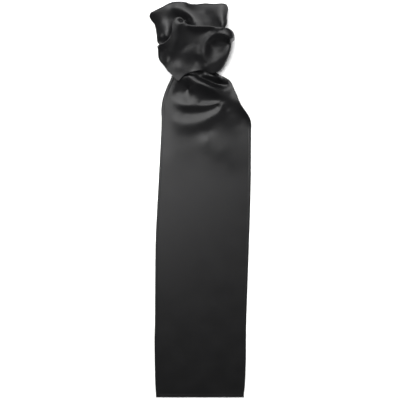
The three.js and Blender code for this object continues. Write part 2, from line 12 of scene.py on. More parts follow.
import bmesh
import bpy
import numpy as np
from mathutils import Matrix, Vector


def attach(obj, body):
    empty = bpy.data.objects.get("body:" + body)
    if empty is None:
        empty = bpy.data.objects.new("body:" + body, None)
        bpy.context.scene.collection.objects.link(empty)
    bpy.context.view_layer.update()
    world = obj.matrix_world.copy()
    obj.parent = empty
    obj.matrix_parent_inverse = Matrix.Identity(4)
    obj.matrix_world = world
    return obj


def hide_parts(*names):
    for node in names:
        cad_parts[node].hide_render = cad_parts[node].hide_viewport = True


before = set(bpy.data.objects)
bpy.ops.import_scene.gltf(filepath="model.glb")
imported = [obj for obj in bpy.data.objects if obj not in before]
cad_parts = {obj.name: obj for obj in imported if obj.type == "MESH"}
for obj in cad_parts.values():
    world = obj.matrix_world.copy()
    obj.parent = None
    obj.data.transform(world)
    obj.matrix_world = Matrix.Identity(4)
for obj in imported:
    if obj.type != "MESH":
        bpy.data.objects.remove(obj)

Array = np.ndarray
Rows = tuple[tuple[float, ...], ...]

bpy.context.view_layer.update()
MM = 0.001  # metres in a millimetre
BODY = "root"
CENTRE_STEP = 7.0  # the most that two centres of a fold line are apart
CENTRE_SPREAD = 1.2  # and the most against the line's rounding
SLACK = 0.001  # how far the cloth may miss a centre, against its weight
MEASURE_STEPS = 40  # points for each row of a table when its curve's length is measured
TINY = 1e-9  # keeps a length that something is divided by above nothing

log = logging.getLogger("scarf")


def spline_at(rows: Array, places: Array) -> Array:
    """Points on the smooth curve through some rows.

    Uniform Catmull-Rom: between rows i and i + 1, with s the share of the way, the point is
    half of 2 p1 + (p2 - p0) s + (2 p0 - 5 p1 + 4 p2 - p3) s^2 + (3 p1 - p0 - 3 p2 + p3) s^3.

    Args:
        rows: one row of numbers for each point that the curve passes through.
        places: places along it, where a whole number i is row i.

    Returns:
        One row of numbers for each place.
    """
    first = np.clip(places.astype(int), 0, len(rows) - 2)
    share = (places - first)[:, None]
    ends = np.vstack([2 * rows[0] - rows[1], rows, 2 * rows[-1] - rows[-2]])
    p0, p1, p2, p3 = (ends[first + k] for k in range(4))
    linear = p2 - p0
    square = 2 * p0 - 5 * p1 + 4 * p2 - p3
    cube = 3 * p1 - p0 - 3 * p2 + p3
    return 0.5 * (2 * p1 + linear * share + square * share**2 + cube * share**3)


def evenly_along(table: Rows, count: int) -> Array:
    """Points evenly spaced by length along the smooth curve through a table's rows.

    Args:
        table: the rows, each an x and a y.
        count: how many points.

    Returns:
        An array of count rows.
    """
    rows = np.array(table, dtype=float)
    fine = spline_at(rows, np.linspace(0, len(rows) - 1, MEASURE_STEPS * len(rows)))
    steps = np.hypot(*np.diff(fine[:, :2], axis=0).T)
    length = np.concatenate([[0.0], np.cumsum(steps)])
    wanted = np.linspace(0, length[-1], count)
    return np.stack([np.interp(wanted, length, column) for column in fine.T], axis=1)


def smooth_step(value: Array, low: float, high: float) -> Array:
    """0 below low and 1 above high, with 3 t^2 - 2 t^3 between them.

    Args:
        value: where it is worked out.
        low: where the step starts.
        high: where it ends.

    Returns:
        The share, from 0 to 1.
    """
    share = np.clip((value - low) / (high - low), 0, 1)
    return share * share * (3 - 2 * share)


def mix(start: Array, end: Array, share: Array) -> Array:
    """start + (end - start) * share."""
    return start + (end - start) * share


@dataclass(frozen=True)
class FoldLine:
    """A line that the cloth passes through: a crest, a valley or an edge.

    Attributes:
        name: which one.
        rounding: how softly the cloth turns across it.
        rows: x, y and height at places along it, through which it runs as a smooth curve.
    """

    name: str
    rounding: float
    rows: Rows

    def centres(self) -> Array:
        """Points along the line, closer together where the cloth turns sharply.

        Returns:
            One row of x, y and height for each.
        """
        rows = np.array(self.rows, dtype=float)
        length = np.hypot(*np.diff(rows[:, :2], axis=0).T).sum()
        step = min(CENTRE_STEP, CENTRE_SPREAD * self.rounding)
        count = max(len(rows), round(length / step) + 1)
        return spline_at(rows, np.linspace(0, len(rows) - 1, count))


def rounded_cones(places: Array, centres: Array, rounding: Array) -> Array:
    """sqrt(distance^2 + rounding^2) from every centre at every place, and 1, x and y there.

    Args:
        places: one row of x and y for each place.
        centres: one row of x and y for each centre.
        rounding: one for each centre.

    Returns:
        One row for each place, with a column for each centre and three more.
    """
    off_x = places[:, :1] - centres[:, 0]
    off_y = places[:, 1:] - centres[:, 1]
    cones = np.sqrt(off_x**2 + off_y**2 + rounding**2)
    return np.concatenate([cones, np.ones((len(places), 1)), places], axis=1)


@dataclass(frozen=True)
class Drape:
    """Cloth as one smooth surface through its fold lines."""

    lines: tuple[FoldLine, ...]

    def heights(self, x: Array, y: Array) -> Array:
        """The height of the cloth at each place.

        The sum over all centres of weight * sqrt(distance^2 + rounding^2), plus a + b x + c y.
        The weights and a, b and c are those for which it passes through every centre and the
        weights have no sum and no moment.

        Args:
            x: the places' x.
            y: the places' y.

        Returns:
            The heights, shaped as x is.
        """
        parts = [line.centres() for line in self.lines]
        centres = np.concatenate(parts)
        rounding = np.repeat([line.rounding for line in self.lines], [len(part) for part in parts])
        plan, count = centres[:, :2], len(centres)
        system = np.zeros((count + 3, count + 3))
        system[:count] = rounded_cones(plan, plan, rounding)
        system[:count, :count] -= SLACK * np.eye(count)
        system[count:, :count] = system[:count, count:].T
        weights = np.linalg.solve(system, np.concatenate([centres[:, 2], np.zeros(3)]))
        places = np.stack([x.ravel(), y.ravel()], axis=1)
        return (rounded_cones(places, plan, rounding) @ weights).reshape(x.shape)


def roll_share(distance: Array, roll: float) -> Array:
    """How far cloth has risen at a distance from a side where it stands upright.

    A quarter of an ellipse: sqrt(1 - (1 - distance / roll)^2).

    Args:
        distance: the distance from the side.
        roll: the distance at which it is all the way up.

    Returns:
        The share, from 0 to 1.
    """
    return np.sqrt(1 - (1 - np.clip(distance / roll, 0, 1)) ** 2)


def side_columns(edge: Array, foot: Array, count: int) -> Array:
    """Columns from a side's edge down and inwards to its foot, on a quarter of an ellipse.

    Args:
        edge: the points where the side begins.
        foot: the points where it ends, lower and further in.
        count: how many columns.

    Returns:
        An array of rows, columns and 3.
    """
    angle = np.linspace(0, np.pi / 2, count + 1)[1:, None]
    inwards = 1 - np.cos(angle)
    plan = mix(edge[:, None, :2], foot[:, None, :2], inwards)
    height = mix(edge[:, None, 2:], foot[:, None, 2:], np.sin(angle))
    return np.concatenate([plan, height], axis=2)


def outwards(grid: Array, closed: bool) -> Array:
    """The outward direction at each point of a grid: along the rows crossed with across them.

    Args:
        grid: rows, columns and 3.
        closed: whether each row closes on itself.

    Returns:
        Unit vectors, shaped as the grid is.
    """
    if closed:
        across = np.roll(grid, -1, axis=1) - np.roll(grid, 1, axis=1)
    else:
        across = np.gradient(grid, axis=1)
    normal = np.cross(np.gradient(grid, axis=0), across)
    return normal / np.maximum(np.linalg.norm(normal, axis=2, keepdims=True), TINY)


@dataclass(frozen=True)
class FoldedEdge:
    """How a free edge of cloth is turned over: an arc, then a short run back under it.

    Attributes:
        radius: of the arc, in millimetres.
        front_turn: how far the edge turns where it faces up, in degrees.
        back_turn: and where it faces down.
        front_run: the run's length where the edge faces up, in millimetres.
        back_run: and where it faces down.
        steps: rows of points on the arc.
    """

    radius: float = 2.0
    front_turn: float = 170.0
    back_turn: float = 20.0
    front_run: float = 4.0
    back_run: float = 1.0
    steps: int = 9

    def rows(self, edge: Array, inner: Array, out: Array) -> Array:
        """The rows beyond an edge.

        edge + r sin(a) ahead - r (1 - cos(a)) out, for a up to the turn, and then straight on.

        Args:
            edge: the edge's points.
            inner: the points of the row before them.
            out: the outward directions at the edge.

        Returns:
            The new rows, from the edge on.
        """
        ahead = edge - inner
        ahead = ahead - (ahead * out).sum(axis=1, keepdims=True) * out
        ahead = ahead / np.maximum(np.linalg.norm(ahead, axis=1, keepdims=True), TINY)
        front = (1 + out[:, 2:]) / 2
        turn = np.radians(mix(self.back_turn, self.front_turn, front))
        angle = turn * (np.arange(1, self.steps + 1) / self.steps)[:, None, None]
        arc = edge + self.radius * (np.sin(angle) * ahead - (1 - np.cos(angle)) * out)
        run = mix(self.back_run, self.front_run, front)
        end = arc[-1] + run * (np.cos(turn) * ahead - np.sin(turn) * out)
        return np.concatenate([arc, mix(arc[-1], end, 0.5)[None], end[None]])


def cloth_object(name: str, grid: Array, closed: bool = False) -> bpy.types.Object:
    """A mesh of four-sided faces over a grid of points on the outside of some cloth.

    Its UV map is in metres along the cloth, from the mean lengths of the grid's rows and columns.

    Args:
        name: the object's name.
        grid: rows, columns and 3, in millimetres.
        closed: whether each row closes on itself.

    Returns:
        The new object, in the scene.
    """
    rows, columns = grid.shape[:2]
    lanes = columns if closed else columns - 1
    row, lane = np.meshgrid(np.arange(rows - 1), np.arange(lanes), indexing="ij")
    after = (lane + 1) % columns
    corners = [(row, lane), (row + 1, lane), (row + 1, after), (row, after)]
    faces = np.stack([r * columns + c for r, c in corners], axis=2).reshape(-1, 4)
    looped = np.concatenate([grid, grid[:, :1]], axis=1) if closed else grid
    across = np.linalg.norm(np.diff(looped, axis=1), axis=2).mean(axis=0)
    along = np.linalg.norm(np.diff(grid, axis=0), axis=2).mean(axis=1)
    u = np.concatenate([[0.0], np.cumsum(across)]) * MM
    v = np.concatenate([[0.0], np.cumsum(along)]) * MM
    ends = [(row, lane), (row + 1, lane), (row + 1, lane + 1), (row, lane + 1)]
    uv = np.stack([np.stack([u[c], -v[r]], axis=2) for r, c in ends], axis=2)
    return mesh_object(name, grid.reshape(-1, 3), faces, uv.reshape(-1, 2))


def mesh_object(
    name: str, points: Array, faces: Array, uv: Array | None = None
) -> bpy.types.Object:
    """An object from points in millimetres and faces that all have the same number of corners.

    Args:
        name: the object's name.
        points: one row of 3 for each point.
        faces: one row of point numbers for each face.
        uv: one row of 2 for each corner of each face, if the piece has a UV map.

    Returns:
        The new object, shaded smooth, in the scene.
    """
    mesh = bpy.data.meshes.new(name)
    mesh.vertices.add(len(points))
    mesh.vertices.foreach_set("co", (points * MM).astype(np.float32).ravel())
    mesh.loops.add(faces.size)
    mesh.loops.foreach_set("vertex_index", faces.astype(np.int32).ravel())
    mesh.polygons.add(len(faces))
    starts = np.arange(0, faces.size, faces.shape[1], dtype=np.int32)
    mesh.polygons.foreach_set("loop_start", starts)
    if uv is not None:
        layer = mesh.uv_layers.new(name="cloth")
        layer.data.foreach_set("uv", uv.astype(np.float32).ravel())
    mesh.update(calc_edges=True)
    mesh.validate()
    mesh.polygons.foreach_set("use_smooth", np.ones(len(mesh.polygons), dtype=bool))
    piece = bpy.data.objects.new(name, mesh)
    bpy.context.collection.objects.link(piece)
    return piece


def give_wall(piece: bpy.types.Object, thickness: float) -> None:
    """Gives cloth its wall, on the inner side of its surface.

    Args:
        piece: the cloth.
        thickness: of the wall, in millimetres.
    """
    wall = piece.modifiers.new("wall", "SOLIDIFY")
    wall.thickness = thickness * MM
    wall.offset = -1
    wall.use_even_offset = False


def settle(piece: bpy.types.Object, nodes: tuple[str, ...]) -> None:
    """Makes a piece ride on the scarf's body and stand for its CAD nodes.

    Args:
        piece: the piece.
        nodes: the CAD nodes that it replaces.
    """
    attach(piece, BODY)
    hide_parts(*nodes)


def srgb(code: str) -> tuple[float, float, float, float]:
    """A colour for a shader from its sRGB hex code, turned to linear."""
    parts = np.array([int(code[k : k + 2], 16) / 255 for k in (1, 3, 5)])
    linear = np.where(parts <= 0.04045, parts / 12.92, ((parts + 0.055) / 1.055) ** 2.4)
    return (*linear.tolist(), 1.0)


Value = float | tuple[float, ...]


def add_node(
    tree: bpy.types.NodeTree,
    kind: str,
    settings: dict[str, object] | None = None,
    inputs: dict[str, Value | bpy.types.NodeSocket] | None = None,
) -> bpy.types.Node:
    """Adds a node, with its settings and what goes into its sockets.

    Args:
        tree: the material's node tree.
        kind: the node's type.
        settings: its properties by name.
        inputs: for each socket, by name or number, a value or the socket that is linked to it.

    Returns:
        The new node.
    """
    node = tree.nodes.new(kind)
    for name, value in (settings or {}).items():
        setattr(node, name, value)
    for name, value in (inputs or {}).items():
        socket = node.inputs[name]
        if isinstance(value, bpy.types.NodeSocket):
            tree.links.new(value, socket)
        else:
            socket.default_value = value
    return node


@dataclass(frozen=True)
class Satin:
    """Polyester satin: long smooth floats of the weft on its face, which give a soft streaky
    sheen across them and hardly any weave to see.

    Attributes:
        name: the material's name.
        dye: the cloth's colour.
        sheen_tint: of the light that its fibres scatter at a low angle.
        gloss: how strongly its face mirrors, as the shader's specular level.
        roughness: of the face; smoother than it shows as a weave.
        uneven: how much the roughness goes up and down over the cloth.
        mottle: how many times a metre it does so, about.
        thread: spacing of the threads in metres, drawn coarser than the real 0.1 mm.
        wave: width of a band of the wave texture at scale 1, in metres.
        weave_depth: how far the threads stand out, in metres.
        weave_strength: of the bump that they make.
        streak: how much the sheen is drawn out across the weft.
        sheen: of the fibres that stick out.
        sheen_roughness: of that sheen.
    """

    name: str = "polyester_satin"
    dye: str = "#0b0b0c"
    sheen_tint: str = "#c9cbd0"
    gloss: float = 0.2
    roughness: float = 0.37
    uneven: float = 0.03
    mottle: float = 30.0
    thread: float = 0.0005
    wave: float = 0.314
    weave_depth: float = 0.00002
    weave_strength: float = 0.5
    streak: float = 0.35
    sheen: float = 0.02
    sheen_roughness: float = 0.4

    def material(self) -> bpy.types.Material:
        """Builds the material."""
        made = bpy.data.materials.new(self.name)
        made.use_nodes = True
        tree = made.node_tree
        shader = tree.nodes["Principled BSDF"]
        cloth = add_node(tree, "ShaderNodeUVMap", {"uv_map": "cloth"})
        mottle = add_node(
            tree,
            "ShaderNodeTexNoise",
            {"noise_dimensions": "2D"},
            {"Vector": cloth.outputs["UV"], "Scale": self.mottle, "Detail": 3.0, "Roughness": 0.5},
        )
        tone = add_node(
            tree,
            "ShaderNodeMapRange",
            {},
            {
                "Value": mottle.outputs["Fac"],
                "From Min": 0.3,
                "From Max": 0.7,
                "To Min": self.roughness - self.uneven,
                "To Max": self.roughness + self.uneven,
            },
        )
        floats = add_node(
            tree,
            "ShaderNodeTexWave",
            {"wave_type": "BANDS", "bands_direction": "DIAGONAL", "wave_profile": "SIN"},
            {"Vector": cloth.outputs["UV"], "Scale": self.wave / self.thread, "Distortion": 0.0},
        )
        relief = add_node(
            tree,
            "ShaderNodeBump",
            {},
            {
                "Height": floats.outputs["Fac"],
                "Distance": self.weave_depth,
                "Strength": self.weave_strength,
            },
        )
        weft = add_node(tree, "ShaderNodeTangent", {"direction_type": "UV_MAP", "uv_map": "cloth"})
        shader.inputs["Base Color"].default_value = srgb(self.dye)
        shader.inputs["Specular IOR Level"].default_value = self.gloss
        shader.inputs["Anisotropic"].default_value = self.streak
        shader.inputs["Sheen Weight"].default_value = self.sheen
        shader.inputs["Sheen Roughness"].default_value = self.sheen_roughness
        shader.inputs["Sheen Tint"].default_value = srgb(self.sheen_tint)
        tree.links.new(tone.outputs["Result"], shader.inputs["Roughness"])
        tree.links.new(relief.outputs["Normal"], shader.inputs["Normal"])
        tree.links.new(weft.outputs["Tangent"], shader.inputs["Tangent"])
        return made


TAIL_SECTIONS: Rows = (
    # y, left edge, right edge, and how far the left and the right one lie off the floor
    (308, -50, 23, 1.8, 1.8),
    (290, -53, 27, 4, 3),
    (278, -56, 31, 7.5, 6),
    (268.5, -60, 39.5, 9, 7.5),
    (263, -62.5, 52, 9.5, 8),
    (257, -64.5, 62, 9, 9.5),
    (249, -68.5, 68, 8, 11),
    (239, -73, 72, 6.5, 12.5),
    (226, -78, 78, 5, 14),
    (213, -81.5, 83, 4, 14),
    (200, -83.5, 90, 3, 12),
    (187, -84, 99.5, 2.2, 9.5),
    (175, -83.5, 106.5, 1.8, 6.5),
    (163, -83.5, 109.2, 1.5, 3.5),
    (148, -84, 109.2, 1.2, 1.5),
    (106, -86, 109.2, 0.7, 0.1),
    (41, -89.5, 108.7, 0.2, 0),
    (-23, -93, 107.2, 0, 0),
    (-88, -96, 105, 0, 0),
    (-174, -97, 102, 0, 0),
    (-260, -97.5, 99, 0, 0),
    (-298, -98.5, 98.5, 0, 0),
    (-346, -98, 98, 0, 0),
    (-389, -97, 96.5, 0, 0),
    (-417.5, -95.4, 94, 0, 0),
)
TAIL_FOOT = (-424.8, -95.0, 93.5)
TAIL_FINE = 106  # down to here the sections at which it is worked out are close together
TAIL_TIED = (262, 280)  # along this stretch the cloth goes into the knot
TAIL_FLAT = (90, 30)  # and along this one its folds run out
TAIL_LINES = (
    FoldLine(
        "left_shoulder",
        6,
        (
            (-48, 260.5, 16.5), (-56.5, 243.5, 12), (-63, 226.5, 9.5), (-67, 205, 7.5),
            (-67, 181, 6), (-65, 157.5, 5), (-63, 131.5, 4), (-60.5, 95, 3),
        ),
    ),
    FoldLine("under_knot", 6, ((-42, 258, 17), (-38, 243, 12), (-25.5, 238, 10))),
    FoldLine("upper_valley", 6, ((-50, 229, 9), (-39, 223, 9), (-28, 216, 10))),
    FoldLine("spur", 3, ((-21, 243, 16), (-17.5, 230, 13.5), (-11, 216, 12.5))),
    FoldLine(
        "upper_crescent",
        3,
        (
            (-52, 211, 10.5), (-37, 205, 12.5), (-22, 202.5, 13), (-0.5, 203.5, 13), (21, 204, 13),
            (36, 206.5, 13), (50.5, 211, 13.5),
        ),
    ),
    FoldLine("above_crescent", 3, ((1.5, 208.5, 11.5), (21, 208, 11.5), (36, 210.5, 12.5))),
    FoldLine(
        "pocket",
        6,
        (
            (-54.5, 196, 8.5), (-41.5, 188.5, 8.5), (-26.5, 185.5, 8), (-9, 185.5, 8),
            (8, 187.5, 8.5), (25.5, 195, 10), (37, 201, 11),
        ),
    ),
    FoldLine(
        "lower_crescent",
        6,
        (
            (-52, 168, 8), (-30.5, 165, 9), (-9, 166, 9.5), (10, 172.5, 10), (25.5, 181, 10.5),
            (38, 190, 11.5), (48.5, 202, 13),
        ),
    ),
    FoldLine(
        "below_crescent",
        8,
        ((-43.5, 140.5, 5), (-22, 137, 5), (-0.5, 145.5, 6), (16.5, 155.5, 6.5), (31.5, 168, 8)),
    ),
    FoldLine("wrinkle_valley", 8, ((21, 146.5, 5), (34, 140.5, 5), (49, 128.5, 4.5))),
    FoldLine("wrinkle", 8, ((16.5, 127.5, 6.5), (29.5, 119, 6), (44.5, 106, 5.5))),
    FoldLine(
        "long_crest",
        2.5,
        (
            (-24, 265, 23), (-11.5, 258, 23.5), (4, 252, 23.5), (19, 245.5, 23), (34, 238, 21.5),
            (44.5, 231.5, 19.5), (53, 225, 17.5), (62, 217.5, 15.5), (72.5, 205, 13),
            (83.5, 189.5, 9.5), (94, 174.5, 6),
        ),
    ),
    FoldLine(
        "behind_crest",
        1.5,
        (
            (-5, 263.5, 17.5), (8, 258, 14.5), (23, 251.5, 11.5), (36, 247.5, 9.5),
            (47, 246.5, 9.5), (57, 246, 10),
        ),
    ),
    FoldLine("bulge", 5, ((12, 269.5, 21), (28, 270, 19.5), (42, 266, 16.5), (54, 257.5, 14.5))),
    FoldLine("right_shoulder", 6, ((50, 239, 14), (62, 235, 15), (67, 224, 15.5))),
    FoldLine("below_crest", 8, ((-0.5, 239, 20.5), (14.5, 230.5, 18.5), (29.5, 224, 16.5))),
    FoldLine(
        "right_slope",
        8,
        ((56, 196, 9.5), (68.5, 179, 6.5), (59.5, 162, 5.5), (83.5, 162, 3.5), (85.5, 138, 2.5)),
    ),
    FoldLine(
        "last_swell",
        10,
        ((-43.5, 106, 3.5), (-17.5, 106, 3.5), (8, 95, 3.5), (29.5, 84.5, 3.5), (59.5, 78, 3.5)),
    ),
    FoldLine(
        "flat",
        10,
        ((-65, 30.5, 2), (-33, 30.5, 2), (10, 30.5, 2), (53, 30.5, 2), (85.5, 30.5, 2)),
    ),
)


@dataclass(frozen=True)
class Tail:
    """The tail: its cloth, which reaches to the folds at its edges, and the hems, which are the
    narrow layers turned back under those edges. Its sizes are in millimetres.

    Attributes:
        cloth: how high the outside of the cloth lies at its edges.
        hem: width of the hems.
        hem_over: how far past them the cloth is worked out at close places.
        hem_rise: of the cloth over its hems.
        hem_step: half the width of the step there.
        hem_wall: thickness of a hem's layer.
        hem_lift: how far it lies off the floor.
        fold: radius at which the cloth turns down at its edges.
        hem_pull: how far from an edge the cloth is held down by its hem.
        edge_rounding: how softly the cloth turns at its edges.
        edge_reach: how far past the start of the flat part its edges still count in the drape.
        knot_rise: of the cloth's middle over its edges inside the knot.
        flat_rise: and on the flat part.
        columns: of the cloth between its hems.
        fold_columns: round the fold at an edge.
        hem_columns: over a hem.
        fine_sections: from the knot down to TAIL_FINE.
        coarse_sections: below it.
        foot_sections: of the foot's hem.
        round_steps: round a hem's outer end.
        wall: thickness of the cloth.
    """

    cloth: float = 1.6
    hem: float = 5.0
    hem_over: float = 2.5
    hem_rise: float = 0.2
    hem_step: float = 1.0
    hem_wall: float = 0.8
    hem_lift: float = 0.1
    fold: float = 1.2
    hem_pull: float = 8.0
    edge_rounding: float = 6.0
    edge_reach: float = 60.0
    knot_rise: float = 15.0
    flat_rise: float = 0.3
    columns: int = 120
    fold_columns: int = 7
    hem_columns: int = 15
    fine_sections: int = 225
    coarse_sections: int = 120
    foot_sections: int = 60
    round_steps: int = 9
    wall: float = 0.8

    def close_to_edge(self) -> Array:
        """Distances from an edge at which the cloth is worked out: close on its fold, and a
        little wider over its hem."""
        turn = self.fold * (1 - np.cos(np.linspace(0, np.pi / 2, self.fold_columns)))
        over_hem = np.linspace(self.fold, self.hem + self.hem_over, self.hem_columns)
        return np.concatenate([turn, over_hem[1:]])

    def sections(self) -> tuple[Array, Array]:
        """The tail's sections from the knot down: fine where it is gathered, coarse below, and
        fine again over the hem of its foot.

        Returns:
            The left edge and the right edge: x, y and how far it lies off the floor, one row
            for each section.
        """
        rows = np.array((*TAIL_SECTIONS, (*TAIL_FOOT, 0, 0)), dtype=float)
        neck = int(np.argmin(np.abs(rows[:, 0] - TAIL_FINE)))
        last = len(rows) - 1
        fine = np.linspace(0, neck, self.fine_sections)
        coarse = np.linspace(neck, last - 1, self.coarse_sections)
        places = np.concatenate([fine[:-1], coarse])
        over_hem = self.close_to_edge()[::-1] / (rows[-2, 0] - rows[-1, 0])
        places = np.concatenate([places, last - over_hem[over_hem < 1]])
        line = spline_at(rows, places)
        return tuple(
            np.stack([line[:, side], line[:, 0], np.maximum(line[:, side + 2], 0)], axis=1)
            for side in (1, 2)
        )

    def drape(self) -> Drape:
        """The folds below the knot, between the tail's two edges."""
        low, high = min(TAIL_FLAT) - self.edge_reach, max(TAIL_TIED)
        shaped = [row for row in TAIL_SECTIONS if low < row[0] < high]
        edges = tuple(
            FoldLine(
                name,
                self.edge_rounding,
                tuple((row[side], row[0], row[side + 2] + self.cloth) for row in shaped),
            )
            for name, side in (("left_edge", 1), ("right_edge", 2))
        )
        return Drape(edges + TAIL_LINES)

    def panel(self) -> bpy.types.Object:
        """The cloth: half an ellipse across each section inside the knot and on the flat part, and
        the drape between them. It lies flat over its hems and turns down at its edges."""
        left, right = self.sections()
        near_edge = self.close_to_edge()
        width = right[:, :1] - left[:, :1]
        from_left = mix(near_edge[-1], width - near_edge[-1], np.linspace(0, 1, self.columns))
        sides = np.broadcast_to(near_edge, (len(left), len(near_edge)))
        from_left = np.concatenate([sides[:, :-1], from_left, width - sides[:, -2::-1]], axis=1)
        x = left[:, :1] + from_left
        y = np.broadcast_to(left[:, 1:2], x.shape)
        across = from_left / width
        edge = mix(left[:, 2:], right[:, 2:], across) + self.cloth
        bow = np.sqrt(np.clip(1 - (2 * across - 1) ** 2, 0, 1))
        tied = smooth_step(y, *TAIL_TIED)
        plain = edge + bow * mix(self.flat_rise, self.knot_rise, tied)
        draped = self.drape().heights(x, y)
        flat = smooth_step(-y, *(-end for end in TAIL_FLAT))
        free = mix(draped, plain, np.maximum(tied, flat))
        side = np.minimum(from_left, width - from_left)
        height = mix(edge, free, smooth_step(side, self.hem / 2, self.hem_pull))
        near = np.minimum(side, y - y.min())
        step = smooth_step(near, self.hem - self.hem_step, self.hem + self.hem_step)
        hemmed = self.hem_rise * (1 - step)
        turned = (self.fold - self.hem_lift) * (1 - roll_share(near, self.fold))
        piece = cloth_object("satin_tail", np.stack([x, y, height + hemmed - turned], axis=2))
        give_wall(piece, self.wall)
        return piece

    def hem_profile(self) -> tuple[Array, Array]:
        """The outline of a hem's layer, cut across: its distance in from the edge, and its height
        over what the edge lies on. Its outer end is round."""
        half = self.hem_wall / 2
        angle = np.radians(np.linspace(-90, 90, self.round_steps))
        outer = self.fold + half - half * np.cos(angle)
        inwards = np.concatenate([[self.hem], outer, [self.hem]])
        height = np.concatenate([[-half], half * np.sin(angle), [half]]) + half + self.hem_lift
        return inwards, height

    def side_hem_strip(self, name: str, sign: int) -> bpy.types.Object:
        """A side hem: the layer turned back under a side.

        Args:
            name: of the piece.
            sign: -1 for the left hem and 1 for the right one.

        Returns:
            The piece.
        """
        edge = self.sections()[0 if sign < 0 else 1]
        edge = edge[edge[:, 1] >= TAIL_SECTIONS[-1][0]]
        inwards, height = self.hem_profile()
        x = edge[:, :1] - sign * inwards
        z = edge[:, 2:] + height
        y = np.broadcast_to(edge[:, 1:2], x.shape)
        return closed_strip(name, np.stack([x, y, z], axis=2))

    def foot_hem_strip(self, name: str) -> bpy.types.Object:
        """The foot's hem: the layer turned back under it."""
        left, right = self.sections()
        inwards, height = self.hem_profile()
        y = left[-1, 1] + inwards
        share = np.linspace(0, 1, self.foot_sections)[:, None]
        x = mix(left[-1, 0] + self.fold, right[-1, 0] - self.fold, share)
        return closed_strip(name, np.stack(np.broadcast_arrays(x, y, height), axis=2))


def closed_strip(name: str, grid: Array) -> bpy.types.Object:
    """A solid strip: a closed profile carried along a path, with both ends filled.

    Args:
        name: the piece's name.
        grid: one row of profile points for each place on the path.

    Returns:
        The piece, with its faces pointing outwards.
    """
    piece = cloth_object(name, grid, closed=True)
    mesh = piece.data
    rows, columns = grid.shape[:2]
    work = bmesh.new()
    work.from_mesh(mesh)
    work.verts.ensure_lookup_table()
    for start in (0, (rows - 1) * columns):
        work.faces.new([work.verts[start + k] for k in range(columns)])
    bmesh.ops.recalc_face_normals(work, faces=work.faces)
    work.to_mesh(mesh)
    work.free()
    return piece


WRAP_TOP: Rows = (
    (-93, 329, 31), (-79, 335, 38), (-66, 346, 45.5), (-60, 360, 51.5), (-60, 372, 54),
    (-59, 381, 55.5), (-55, 389, 56.5), (-48, 392, 57), (-40, 390, 57), (-34, 384, 57),
    (-29, 378, 57), (-20, 374, 57.5), (-5, 373, 58), (21, 372.5, 58.5), (36, 371.5, 58.5),
    (46, 370.5, 58), (54, 370, 56.5), (62, 369, 53),
)
WRAP_FOOT: Rows = (
    (-76, 284, 25), (-71, 275, 25), (-61, 265, 24.5), (-47.5, 249.5, 23.5), (-35, 260.5, 25.5),
    (-22, 268, 27), (-7, 272, 29), (8, 272, 30), (24, 267, 28), (42, 271, 24),
)
WRAP_LEFT: Rows = (
    (-93, 329, 31), (-91, 317, 26), (-90, 305, 22), (-85, 294, 21.5), (-76, 284, 25),
)
WRAP_RIGHT: Rows = (
    (62, 369, 53), (68, 365, 51.5), (73, 357, 50), (74, 345, 45), (68, 335, 36), (66, 323, 35),
    (62, 310, 34), (57, 297, 31), (51, 284, 27), (42, 271, 24),
)
